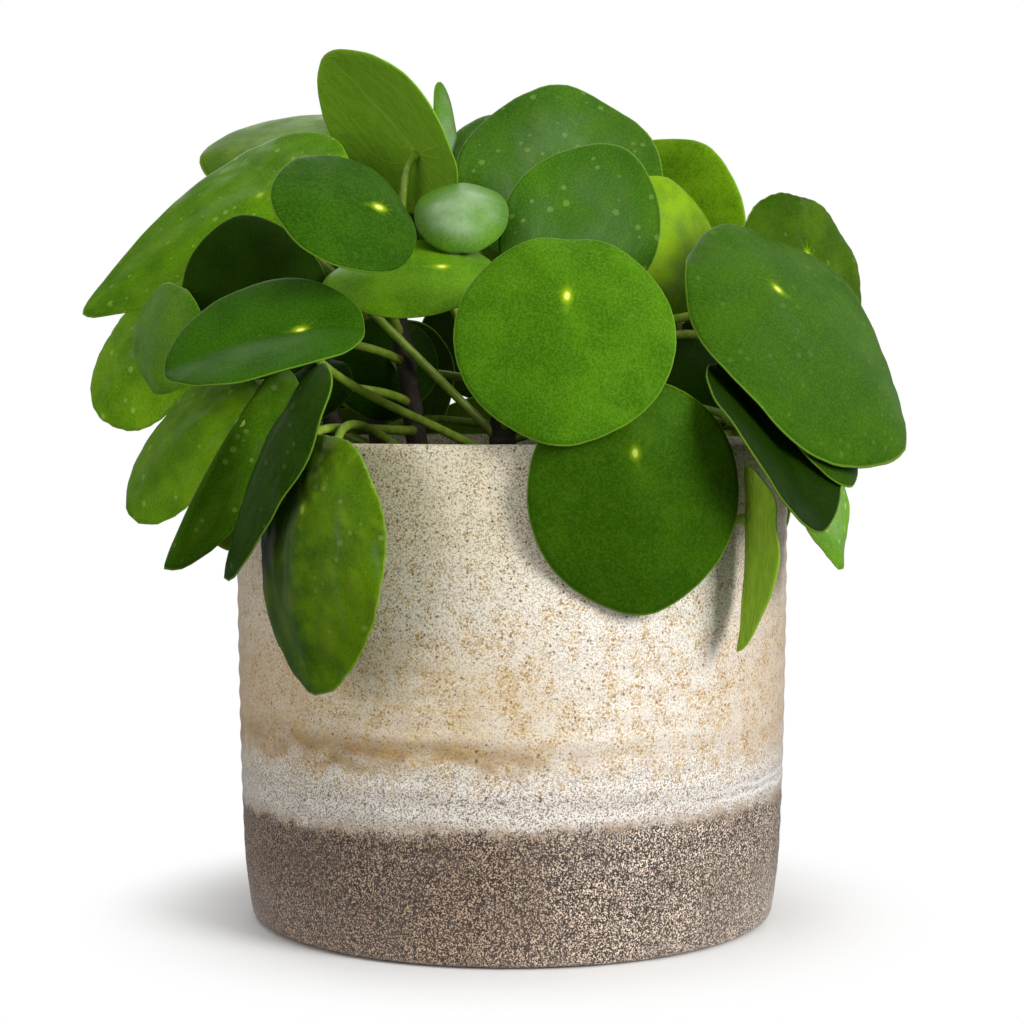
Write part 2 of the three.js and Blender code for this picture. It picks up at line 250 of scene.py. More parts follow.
def tinted(tree, colour, tint, *masks):
    """A tint, as a screen shows it, laid over a colour as strongly as the masks' product says."""
    return mixed(tree, times(tree, *masks), colour, screen(*tint))


def new_material(name):
    material = bpy.data.materials.new(name)
    material.use_nodes = True
    return material, material.node_tree, material.node_tree.nodes["Principled BSDF"]


def feed(tree, shader, **sockets):
    """Links sockets to the shader's inputs, or sets them. A name's spaces are written as _."""
    for name, value in sockets.items():
        plug(tree, shader.inputs[name.replace("_", " ")], value)


def new_group(name, inputs, outputs, kind="ShaderNodeTree"):
    """A node group with sockets of the kinds named, and its inner ends."""
    tree = bpy.data.node_groups.new(name, kind)
    for way, sockets in (("INPUT", inputs), ("OUTPUT", outputs)):
        for socket, value_kind in sockets.items():
            tree.interface.new_socket(socket, in_out=way, socket_type="NodeSocket" + value_kind)
    return tree, tree.nodes.new("NodeGroupInput").outputs, tree.nodes.new("NodeGroupOutput").inputs


def send(tree, result, **values):
    """Links values to the group's outputs."""
    for name, value in values.items():
        tree.links.new(value, result[name])


def grouped(tree, group, **inputs):
    """What a use of a node group puts out."""
    return put(tree, "ShaderNodeGroup", inputs, node_tree=group).outputs


# Round freckles: a share of the cells of a grid each hold one, of a size of its own
specks, given, result = new_group(
    "specks", {"Vector": "Vector", "Scale": "Float", "Share": "Float", "Size": "Float"},
    {"Mask": "Float"})
cells = put(specks, "ShaderNodeTexVoronoi", {"Vector": given["Vector"], "Scale": given["Scale"]}).outputs
dice = put(specks, "ShaderNodeSeparateColor", {"Color": cells["Color"]}).outputs
chosen = maths(specks, "LESS_THAN", dice["Red"], given["Share"])
own_size = times(specks, given["Size"], maths(specks, "ADD", dice["Green"], 0.5))
inside = fade(specks, maths(specks, "SUBTRACT", own_size, cells["Distance"]), 0.0, 0.12)
send(specks, result, Mask=times(specks, inside, chosen))

glaze, tree, shader = new_material("speckled_glaze")
place = put(tree, "ShaderNodeTexCoord").outputs["Object"]
axes = split(tree, place)
broad = noise(tree, place, 22, 2)
patchy = noise(tree, place, 130, 4, stretch=(1, 1, 1.8))
clusters = noise(tree, place, 210, 4, stretch=(1, 1, 0.8))
grit = noise(tree, place, 2500, 3)
grains = rolled(tree, place, 2900)
beads = rolled(tree, place, 1750)
level = moved(tree, moved(tree, axes["Z"], broad, 0.016), patchy, 0.010)


def band(middle, half_width, strength):
    """A soft horizontal band, broken up by the patchy noise."""
    inside = fade(tree, gap(tree, level, middle), half_width * 1.3, half_width * 0.1)
    return times(tree, inside, fade(tree, patchy, 0.3, 0.7, strength * 0.5, strength))


# The colour of the glaze: sandier above and whiter below, with two bands of ochre over a milky one
# and a warm tint towards both sides. A painted highlight whitens the right and weakens the ochre
# bands there, so the left looks sandier
# Painted highlight: the glaze is painted whiter to the right, and the ochre bands are weaker there
painted_highlight = fade(tree, axes["X"], -0.020, 0.035)
away_from_highlight = fade(tree, painted_highlight, 0, 1, 1.0, 0.35)
colour = mixed(tree, fade(tree, level, 0.075, 0.122), screen(248, 240, 226), screen(246, 234, 204))
colour = tinted(tree, colour, (246, 242, 240), painted_highlight, 0.5)
colour = tinted(tree, colour, (212, 180, 122), band(0.070, 0.022, 0.70), away_from_highlight)
colour = tinted(tree, colour, (160, 126, 72), band(0.0575, 0.0055, 0.90), away_from_highlight)
colour = tinted(tree, colour, (222, 214, 206), band(0.0430, 0.0080, 0.8))
outer = fade(tree, maths(tree, "ABSOLUTE", axes["X"]), 0.045, 0.078, 0, 0.45)
colour = tinted(tree, colour, (212, 176, 128), outer, fade(tree, level, 0.045, 0.060))

# Fine olive and grey grain all over, golden grains in loose clusters and tiny dark specks
mottle = times(tree, fade(tree, grains["Red"], 0.25, 0.90), fade(tree, grit, 0.34, 0.58))
colour = tinted(tree, colour, (112, 94, 60), mottle, fade(tree, level, 0.060, 0.118, 0.50, 0.80))
colour = tinted(tree, colour, (104, 88, 74), mottle, fade(tree, level, 0.060, 0.044, 0, 0.95))
golden = times(tree, fade(tree, level, 0.040, 0.056), fade(tree, clusters, 0.38, 0.64),
               fade(tree, level, 0.112, 0.080, 0.35, 1.0))
for dice, share, tint in ((grains, 0.34, (200, 162, 86)), (beads, 0.13, (166, 126, 60))):
    chosen = maths(tree, "LESS_THAN", dice["Green"], times(tree, golden, share))
    colour = tinted(tree, colour, tint, chosen, 0.8)
shaken = put(tree, "ShaderNodeTexNoise", {"Vector": place, "Scale": 2400.0}).outputs["Color"]
shaken = vector_maths(tree, "ADD", place, vector_maths(tree, "SCALE", shaken, 0.0007))
pepper = grouped(tree, specks, Vector=shaken, Scale=1250.0, Share=0.13, Size=0.34)["Mask"]
colour = tinted(tree, colour, (82, 62, 36), pepper, fade(tree, level, 0.040, 0.110, 0.5, 0.9))
spots = grouped(tree, specks, Vector=shaken, Scale=780.0, Share=0.05, Size=0.27)["Mask"]
colour = tinted(tree, colour, (92, 64, 36), spots, 0.85)

# The bare foot, with a hazy ragged upper edge that rises to the right
foot_grain = noise(tree, place, 2300, 3)
# The clay's pale grain, painted lighter to the right by the same painted highlight
clay_grain_and_highlight = mixed(tree, painted_highlight, screen(208, 178, 150), screen(250, 228, 206))
clay = times(tree, fade(tree, grains["Blue"], 0.25, 0.8), fade(tree, foot_grain, 0.40, 0.56))
clay = mixed(tree, clay, screen(38, 25, 18), clay_grain_and_highlight)
clay = tinted(tree, clay, (98, 82, 72), fade(tree, noise(tree, place, 60, 3), 0.35, 0.7, 0, 0.35))
line = maths(tree, "MULTIPLY_ADD", axes["X"], FOOT_SLOPE, FOOT_LINE)
above = maths(tree, "SUBTRACT", axes["Z"], line)
edge = above
for pattern, amount in ((grains["Red"], 0.0030), (clusters, 0.0060), (patchy, 0.0050), (broad, 0.0040)):
    edge = moved(tree, edge, pattern, amount)
fringe = fade(tree, gap(tree, edge, 0.0010), 0.0024, 0.0004)
colour = tinted(tree, colour, (172, 136, 96), fringe, fade(tree, patchy, 0.4, 0.6, 0.1, 0.6))
wavy = moved(tree, above, patchy, 0.0040)
at_right = fade(tree, axes["X"], 0.040, 0.070, 0, 0.5)
for rise, half_width in ((0.0040, 0.0007), (0.0066, 0.0008)):  # thin white trails at the right
    trail = fade(tree, gap(tree, wavy, rise), half_width, half_width * 0.3)
    colour = tinted(tree, colour, (248, 246, 246), trail, at_right)
bare = fade(tree, edge, 0.0008, -0.0008)
colour = mixed(tree, bare, colour, clay)

relief = weighed(tree, (patchy, 0.8), (grit, 0.5), (foot_grain, times(tree, bare, 0.9)))
feed(tree, shader, Base_Color=colour, Normal=bumped(tree, relief, 0.35, 0.0002),
     Roughness=maths(tree, "MULTIPLY_ADD", bare, 0.14, fade(tree, patchy, 0.3, 0.7, 0.30, 0.42)),
     Coat_Weight=fade(tree, bare, 0, 1, 0.35, 0.20), Coat_Roughness=0.30)

pot = new_piece("glazed_pot", pot_points, pot_faces, [glaze])
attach(pot, "root")
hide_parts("pot")


# ---- Compost ----
# Loose dark potting compost up to 11 mm below the lip, slightly heaped. Crumbs of bark and fibre
# lie scattered over its top.

CLEARANCE = 0.3
SOIL_TOP = POT_HEIGHT - 11
SOIL_FLOOR = POT_FLOOR + CLEARANCE
SOIL_RADIUS = inner - CLEARANCE
CRUMB_SEED = 4
CRUMB_RADIUS = 1.1
FULL_TURN = 6.28  # in radians


def applied(piece, group, **values):
    """Gives a piece a node group's result as its plain mesh. The values are the group's inputs."""
    modifier = piece.modifiers.new(group.name, "NODES")
    modifier.node_group = group
    for socket in group.interface.items_tree:
        if socket.in_out == "INPUT" and socket.name in values:
            modifier[socket.identifier] = values[socket.name]
    bpy.context.view_layer.update()
    view = piece.evaluated_get(bpy.context.evaluated_depsgraph_get())
    old, piece.data = piece.data, bpy.data.meshes.new_from_object(view)
    piece.modifiers.remove(modifier)
    bpy.data.meshes.remove(old)


def new_growth(name, inputs):
    """A geometry node group with these inputs beside the geometry, and its inner ends."""
    inputs = {"Geometry": "Geometry", **inputs}
    return new_group(name, inputs, {"Geometry": "Geometry"}, "GeometryNodeTree")


def grown(tree, result, material, *parts):
    """Joins the parts, gives them their material and sends them out of the group."""
    joined = put(tree, "GeometryNodeJoinGeometry")
    for part in parts:
        tree.links.new(part, joined.inputs[0])
    done = put(tree, "GeometryNodeSetMaterial", {"Geometry": joined.outputs[0], "Material": material})
    send(tree, result, Geometry=done.outputs[0])


def random_vector(tree, low, high, seed):
    inputs = {0: low, 1: high, "Seed": seed}
    return put(tree, "FunctionNodeRandomValue", inputs, data_type="FLOAT_VECTOR").outputs[0]


compost, tree, shader = new_material("compost")
place = put(tree, "ShaderNodeTexCoord").outputs["Object"]
clods = noise(tree, place, 260, 5)
fibres = noise(tree, place, 900, 3, stretch=(1, 0.25, 0.5))
colour = mixed(tree, fade(tree, clods, 0.35, 0.65), screen(22, 16, 12), screen(56, 41, 29))
colour = tinted(tree, colour, (100, 74, 48), fade(tree, fibres, 0.60, 0.72, 0, 0.7))
feed(tree, shader, Base_Color=colour, Roughness=0.9, Normal=bumped(tree, clods, 0.8, 0.0012))

soil_profile = [(1, SOIL_FLOOR), (SOIL_RADIUS - 14.2, SOIL_FLOOR), (SOIL_RADIUS - 4.3, 14.4),
                (SOIL_RADIUS, 30), (SOIL_RADIUS, SOIL_TOP - 2.5), (SOIL_RADIUS - 0.8, SOIL_TOP - 0.6)]
soil_profile += [(ring, SOIL_TOP) for ring in np.arange(SOIL_RADIUS - 2, 1, -1.4)]
soil_points, soil_faces = turned(soil_profile, 150)
x, y, z = soil_points.T
lumps = 1.6 * (np.sin(0.13 * x + 1) * np.cos(0.17 * y) - 0.3)
clumps = 0.5 * np.sin(0.55 * x + 0.4 * y) * np.cos(0.61 * y - 0.3 * x)
clumps += 0.25 * np.sin(1.3 * x) * np.sin(1.5 * y)
soil_points[:, 2] += np.where(z > SOIL_TOP - 0.5, lumps + clumps, 0)

crumbs, given, result = new_growth(
    "crumbs", {"Density": "Float", "Seed": "Int", "Size": "Float", "Material": "Material"})
normal = put(crumbs, "GeometryNodeInputNormal").outputs[0]
facing = split(crumbs, normal)["Z"]
on_top = put(crumbs, "FunctionNodeCompare", {"A": facing, "B": 0.8}, operation="GREATER_THAN")
scatter = put(crumbs, "GeometryNodeDistributePointsOnFaces", {
    "Mesh": given["Geometry"], "Selection": on_top.outputs[0], "Density": given["Density"],
    "Seed": given["Seed"]})
ball = put(crumbs, "GeometryNodeMeshIcoSphere", {"Radius": given["Size"], "Subdivisions": 2})
where = put(crumbs, "GeometryNodeInputPosition").outputs[0]
rough = put(crumbs, "ShaderNodeTexNoise", {"Vector": where, "Scale": 900.0}).outputs["Color"]
rough = vector_maths(crumbs, "SUBTRACT", rough, (0.5, 0.5, 0.5))
crumb = put(crumbs, "GeometryNodeSetPosition", {
    "Geometry": ball.outputs["Mesh"], "Offset": vector_maths(crumbs, "SCALE", rough, 0.0016)})
laid = put(crumbs, "GeometryNodeInstanceOnPoints", {
    "Points": scatter.outputs["Points"], "Instance": crumb.outputs[0],
    "Rotation": random_vector(crumbs, (0, 0, 0), [FULL_TURN] * 3, given["Seed"]),
    "Scale": random_vector(crumbs, (0.4, 0.4, 0.3), (1.9, 1.2, 0.9), given["Seed"])})
real = put(crumbs, "GeometryNodeRealizeInstances", {"Geometry": laid.outputs[0]})
grown(crumbs, result, given["Material"], given["Geometry"], real.outputs[0])

soil = new_piece("compost_bed", soil_points, soil_faces, [compost])
applied(soil, crumbs, Density=60000.0, Seed=CRUMB_SEED, Size=CRUMB_RADIUS * MM, Material=compost)
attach(soil, "root")
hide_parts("soil")


# ---- Woody stems ----
# Seven leaning brown stems stand in the compost. Old leaves have left pale scars round them, and
# small papery scales sit between the stalks.

STEMS = {  # foot, bend and top of each stem, and its radius at the foot and at the top
    "main": ((-3, -4, 96), (-5, -6, 140), (2, 2, 178), (5.2, 3.4)),
    "left": ((-24, -2, 100), (-27, -4, 140), (-34, 2, 178), (4, 2.8)),
    "outer_left": ((-48, -12, 104), (-49, -14, 130), (-54, -14, 158), (3.6, 2.6)),
    "right": ((26, -8, 100), (28, -8, 140), (34, -4, 172), (4, 2.8)),
    "outer_right": ((44, 20, 100), (46, 22, 140), (54, 26, 172), (4, 2.8)),
    "back": ((-4, 36, 100), (-4, 38, 140), (2, 44, 182), (4, 2.8)),
    "left_back": ((-38, 30, 100), (-40, 32, 140), (-46, 36, 172), (4, 2.8)),
}
SCALES_EACH = 16
STEM_SIDES = 20


def along_stem(stem, share):
    """A point on a stem's middle line."""
    foot, bend, top = np.asarray(STEMS[stem][:3], float)
    return foot * (1 - share) ** 2 + bend * 2 * share * (1 - share) + top * share ** 2


def tube_along(tree, path, girth, sides):
    """A closed tube along a path; its girth is a radius in metres."""
    circle = put(tree, "GeometryNodeCurvePrimitiveCircle", {"Resolution": sides, "Radius": 1.0})
    return put(tree, "GeometryNodeCurveToMesh", {
        "Curve": path, "Profile Curve": circle.outputs[0], "Scale": girth, "Fill Caps": True}).outputs[0]


def new_line(name, points):
    """A piece of nothing but points joined in a row, for a tube to follow."""
    return new_piece(name, points, [], edges=[(index, index + 1) for index in range(len(points) - 1)])


def path_in(tree, given):
    """The path of a tube, the share of the way along it and the radius, from Foot to Top."""
    path = put(tree, "GeometryNodeMeshToCurve", {"Mesh": given["Geometry"]}).outputs[0]
    way = put(tree, "GeometryNodeSplineParameter").outputs["Factor"]
    ends = {"Value": way, "To Min": given["Foot"], "To Max": given["Top"]}
    return path, way, put(tree, "ShaderNodeMapRange", ends).outputs[0]


bark, tree, shader = new_material("bark")
place = put(tree, "ShaderNodeTexCoord").outputs["Object"]
furrows = noise(tree, place, 420, 4, stretch=(1, 1, 0.3))
scars = noise(tree, place, 260, 2, stretch=(0.3, 0.3, 1))
# Both browns are darker than the bark's own: painted shade of the plant's crowded middle
colour = mixed(tree, fade(tree, furrows, 0.35, 0.65), screen(22, 17, 11), screen(52, 42, 28))
colour = tinted(tree, colour, (74, 64, 42), fade(tree, scars, 0.56, 0.66, 0, 0.6))
relief = maths(tree, "ADD", furrows, scars)
feed(tree, shader, Base_Color=colour, Roughness=0.78, Normal=bumped(tree, relief, 0.7, 0.0006))

trunk, given, result = new_growth(
    "trunk", {"Foot": "Float", "Top": "Float", "Scales": "Int", "Seed": "Int", "Material": "Material"})
path, _, girth = path_in(trunk, given)
where = put(trunk, "GeometryNodeInputPosition").outputs[0]
knots = noise(trunk, where, 240.0, 2.0)
rise = times(trunk, maths(trunk, "SUBTRACT", knots, 0.7), 0.0016)
normal = put(trunk, "GeometryNodeInputNormal").outputs[0]
knotty = put(trunk, "GeometryNodeSetPosition", {
    "Geometry": tube_along(trunk, path, girth, STEM_SIDES),
    "Offset": vector_maths(trunk, "SCALE", normal, rise)})
spots = put(trunk, "GeometryNodeCurveToPoints", {"Curve": path, "Count": given["Scales"]})
scale_form = put(trunk, "GeometryNodeMeshCone", {
    "Vertices": 6, "Side Segments": 3, "Radius Top": 0.0002, "Radius Bottom": 0.0011,
    "Depth": 0.0045})
bed = put(trunk, "GeometryNodeInstanceOnPoints", {
    "Points": spots.outputs["Points"], "Instance": scale_form.outputs["Mesh"],
    "Rotation": random_vector(trunk, (0.3, -0.5, 0), (0.9, 0.5, FULL_TURN), given["Seed"]),
    "Scale": (1.2, 0.4, 1.0)})
pushed = put(trunk, "GeometryNodeTranslateInstances", {
    "Instances": bed.outputs[0], "Translation": (0, -0.0026, 0)})
real = put(trunk, "GeometryNodeRealizeInstances", {"Geometry": pushed.outputs[0]})
grown(trunk, result, given["Material"], knotty.outputs[0], real.outputs[0])

for number, (name, (*_, (foot_radius, top_radius))) in enumerate(STEMS.items()):
    middle = [along_stem(name, share) for share in np.linspace(0, 1, 44)]
    stem = new_line(f"bark_{name}", middle)
    applied(stem, trunk, Foot=foot_radius * MM, Top=top_radius * MM, Scales=SCALES_EACH,
            Seed=number, Material=bark)
    stem.data.polygons.foreach_set("use_smooth", [True] * len(stem.data.polygons))
    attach(stem, "root")
    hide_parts(f"stem_{name}")


# ---- Leaf surfaces ----
# Smooth waxy blades: a bright dot where the stalk joins, palmate veins from it that show most on
# the paler underside, a thin light margin and tiny pale pores. Each leaf has a green of its own,
# scaled by painted light and shade of its own, and some carry a painted sheen.

LEAF_GLOSS = screen(150, 230, 90)

# Veins on a blade drawn as a unit disc: U runs from the joint to the tip, V across
veins, given, result = new_group(
    "veins", {"Disc": "Vector"}, {"Main": "Float", "Side": "Float", "Net": "Float"})
wobble = noise(veins, given["Disc"], 3.0, 2)
bent = vector_maths(veins, "SCALE", (0.08, 0.08, 0), maths(veins, "SUBTRACT", wobble, 0.5))
bent = vector_maths(veins, "ADD", given["Disc"], bent)
u, v, _ = split(veins, bent)
aside = maths(veins, "ABSOLUTE", v)
forward = maths(veins, "MAXIMUM", u, 0.0)
arc = times(veins, maths(veins, "SQRT", forward), 1.25, maths(veins, "SUBTRACT", 1.0, forward))
width = fade(veins, length_of(veins, bent), 0.0, 1.0, 0.030, 0.010)


def vein(distance, weight=1.0):
    """A line that fades out within its width of distance."""
    return times(veins, fade(veins, maths(veins, "DIVIDE", distance, width), 1.0, 0.2), weight)


curved = times(veins, vein(gap(veins, aside, arc)), fade(veins, u, -0.02, 0.05))
main = maths(veins, "MAXIMUM", vein(aside), curved)
for slope in (0.55, 1.6, 4.5):  # the shorter veins that run back to the base
    off = maths(veins, "ABSOLUTE", maths(veins, "MULTIPLY_ADD", u, slope, aside))
    off = maths(veins, "DIVIDE", off, math.hypot(1, slope))
    main = maths(veins, "MAXIMUM", main, times(veins, vein(off, 0.7), fade(veins, u, 0.02, -0.05)))
steps = weighed(veins, (u, 1.0), (aside, -0.75), (wobble, 0.12))
steps = maths(veins, "PINGPONG", times(veins, steps, 7.0), 0.5)
meshes = put(veins, "ShaderNodeTexVoronoi", {"Vector": bent, "Scale": 13.0},
             feature="DISTANCE_TO_EDGE").outputs["Distance"]
send(veins, result, Main=main, Side=fade(veins, steps, 0.07, 0.0, 0, 0.8),
     Net=fade(veins, meshes, 0.07, 0.0))

# What both faces of a blade share: where a point lies and how this leaf differs from the others.
# Share runs from the joint to the margin, and Distance is in millimetres and grows faster across.
measures = ("Share", "Distance", "Yellow", "Light", "Haze", "Dot", "Worn", "Shade", "Clouds")
leaf_place, given, result = new_group(
    "leaf_place", {}, {"Disc": "Vector", "Flat": "Vector", **dict.fromkeys(measures, "Float")})
disc = put(leaf_place, "ShaderNodeUVMap", uv_map="disc").outputs[0]
flat = put(leaf_place, "ShaderNodeUVMap", uv_map="flat").outputs[0]
tone_light_sheen = put(leaf_place, "ShaderNodeAttribute", attribute_name="tone_light_sheen").outputs["Vector"]
# The leaf's yellow; its lightness, which is painted light and shade over its own tone; its painted sheen
yellow, light, painted_sheen = split(leaf_place, tone_light_sheen)
trait = put(leaf_place, "ShaderNodeAttribute", attribute_name="trait").outputs["Vector"]
# Its dot, its seed, and how marked it is, which brings painted sheen streaks too
dot, seed, worn_and_sheen = split(leaf_place, trait)
shade = put(leaf_place, "ShaderNodeAttribute", attribute_name="shade").outputs["Fac"]
apart = put(leaf_place, "ShaderNodeCombineXYZ", {"Z": times(leaf_place, seed, 90)}).outputs[0]
own = vector_maths(leaf_place, "ADD", flat, apart)
narrow = vector_maths(leaf_place, "MULTIPLY", flat, (1, 1.5, 1))
send(leaf_place, result, Disc=disc, Flat=own, Share=length_of(leaf_place, disc),
     Distance=length_of(leaf_place, narrow), Yellow=yellow, Light=light, Haze=painted_sheen, Dot=dot,
     Worn=worn_and_sheen, Shade=shade, Clouds=noise(leaf_place, own, 0.09, 4))

upper, tree, shader = new_material("leaf_upper")
at = grouped(tree, leaf_place)
rib = grouped(tree, veins, Disc=at["Disc"])
colour = mixed(tree, at["Yellow"], screen(52, 110, 12), screen(140, 178, 6))
colour = tinted(tree, colour, (36, 86, 2), fade(tree, at["Clouds"], 0.35, 0.65, 0, 0.45))
cells = noise(tree, at["Flat"], 1.7, 3)
colour = tinted(tree, colour, (120, 162, 48), fade(tree, cells, 0.42, 0.72, 0, 0.28))
colour = tinted(tree, colour, (34, 84, 4), fade(tree, cells, 0.50, 0.30, 0, 0.30))
faint = weighed(tree, (rib["Main"], 0.015), (rib["Net"], 0.04))
colour = tinted(tree, colour, (140, 185, 80), faint)
pores = grouped(tree, specks, Vector=at["Flat"], Scale=0.30, Share=0.50, Size=0.24)["Mask"]
colour = tinted(tree, colour, (166, 200, 100), pores, fade(tree, at["Worn"], 0.0, 0.4, 0.03, 0.38))

# What a marked blade gets: one side of its midrib darker in blotches, pale quilted patches, and pale
# streaks that are painted sheen
blotches = noise(tree, at["Flat"], 0.15, 4)
half = split(tree, at["Disc"])["Y"]
half = fade(tree, maths(tree, "MULTIPLY_ADD", blotches, 1.2, half), 0.95, 0.25, 0.10, 0.85)
colour = tinted(tree, colour, (40, 70, 10), at["Worn"], half)
quilt = put(tree, "ShaderNodeTexVoronoi", {"Vector": at["Disc"], "Scale": 4.5},
            feature="SMOOTH_F1").outputs["Distance"]
quilt = fade(tree, quilt, 0.50, 0.10)
colour = tinted(tree, colour, (128, 152, 40), at["Worn"], quilt, 0.30)
# Pale streaks of painted sheen along the blade
streaks = noise(tree, at["Disc"], 1.3, 3, stretch=(0.7, 2.6, 1))
colour = tinted(tree, colour, (150, 170, 128), at["Worn"], fade(tree, streaks, 0.52, 0.70, 0, 0.30))

# A painted sheen, the dot with its short rays, and the margin
painted_sheen = times(tree, at["Haze"], fade(tree, at["Clouds"], 0.35, 0.65, 0.3, 1.0))
colour = tinted(tree, colour, (170, 196, 158), painted_sheen, fade(tree, at["Share"], 0.95, 0.45, 0.15, 1.3))
# The leaf's painted light and shade, partly its own tone, scales the colour
colour = mixed(tree, 1.0, colour, at["Light"], way="MULTIPLY")
rays = times(tree, rib["Main"], fade(tree, at["Distance"], 6.0, 1.5, 0, 0.22))
glow = maths(tree, "MAXIMUM", rays, fade(tree, at["Distance"], 3.4, 0.6, 0, 0.75))
colour = tinted(tree, colour, (170, 205, 20), glow, at["Dot"])
colour = tinted(tree, colour, (238, 244, 122), fade(tree, at["Distance"], 1.6, 0.5), at["Dot"])
colour = tinted(tree, colour, (140, 182, 60), fade(tree, at["Share"], 0.985, 0.997, 0, 0.40))
skin = noise(tree, at["Flat"], 1.6, 3)
relief = weighed(tree, (at["Clouds"], 1.2), (skin, 0.12), (rib["Main"], -0.05),
                 (quilt, times(tree, at["Worn"], 1.6)))
feed(tree, shader, Base_Color=colour, Normal=bumped(tree, relief, 0.6, 0.0006),
     Specular_IOR_Level=0.10, Specular_Tint=LEAF_GLOSS,
     Roughness=fade(tree, at["Clouds"], 0.3, 0.7, 0.40, 0.50))

under, tree, shader = new_material("leaf_under")
at = grouped(tree, leaf_place)
rib = grouped(tree, veins, Disc=at["Disc"])
streaks = noise(tree, at["Flat"], 0.8, 3, stretch=(0.25, 1.4, 1))
colour = mixed(tree, at["Yellow"], screen(82, 122, 34), screen(134, 168, 16))
colour = tinted(tree, colour, (68, 110, 14), fade(tree, streaks, 0.35, 0.65, 0, 0.4))
drawn = weighed(tree, (rib["Main"], 0.12), (rib["Side"], 0.05), (rib["Net"], 0.05))
colour = tinted(tree, colour, (160, 188, 90), drawn)
# A painted sheen over the underside
colour = tinted(tree, colour, (170, 190, 150), at["Haze"])
# The leaf's painted light and shade, partly its own tone, then the painted shade of undersides among the
# stems
colour = mixed(tree, 1.0, colour, at["Light"], way="MULTIPLY")
colour = mixed(tree, 1.0, colour, at["Shade"], way="MULTIPLY")
colour = tinted(tree, colour, (150, 186, 70), fade(tree, at["Share"], 0.985, 0.997, 0, 0.5))
relief = weighed(tree, (streaks, 0.3), (rib["Main"], 0.5), (rib["Side"], 0.3))
feed(tree, shader, Base_Color=colour, Normal=bumped(tree, relief, 0.5, 0.0005),
     Specular_IOR_Level=0.10, Specular_Tint=LEAF_GLOSS,
     Roughness=fade(tree, streaks, 0.3, 0.7, 0.48, 0.58))

stalk_skin, tree, shader = new_material("stalk_skin")
way = put(tree, "ShaderNodeAttribute", attribute_name="way").outputs["Fac"]
place = put(tree, "ShaderNodeTexCoord").outputs["Object"]
mottle = noise(tree, place, 300, 3)
colour = mixed(tree, fade(tree, mottle, 0.35, 0.65), screen(120, 152, 38), screen(150, 176, 60))
colour = tinted(tree, colour, (104, 92, 38), fade(tree, way, 0.22, 0.0, 0, 0.6))
feed(tree, shader, Base_Color=colour, Roughness=0.42, Normal=bumped(tree, mottle, 0.3, 0.0003))


# ---- Leaves ----
# Each leaf is one blade, nearly round, held by its own long stalk that joins the middle of the
# underside. The blades dome, fold or wave a little and are half a millimetre thick at the edge.

BLADE_THICKNESS = 0.9
EDGE_THINNING = 0.45
UMBO_SHARE = 0.32  # the stalk joins at this share of the blade's length from its base
BASE_DIP, BASE_SPREAD = 0.05, 0.28
TIP_SPREAD = 0.26
LOWEST_LEAF, HIGHEST_LEAF = 0.45, 0.92  # as shares of the way up a stem
STALK_RISE, STALK_LEAD = 0.08, 0.35
STALK_FOOT, STALK_TOP = 1.4, 1.05  # radii
STALK_SIDES = 12
HANGING_BELOW = 150
OVER_RIM = 4
UNDER_BLADE = 6
NAVEL, NAVEL_RADIUS = 0.35, 3  # the hollow over the stalk
STALK_STOP = 0.7  # the stalk ends this far under the blade's middle
PUCKER = 0.14
TEETH = 34
DEEP_TEETH = 0.014
SPOKES, RINGS = 96, 18

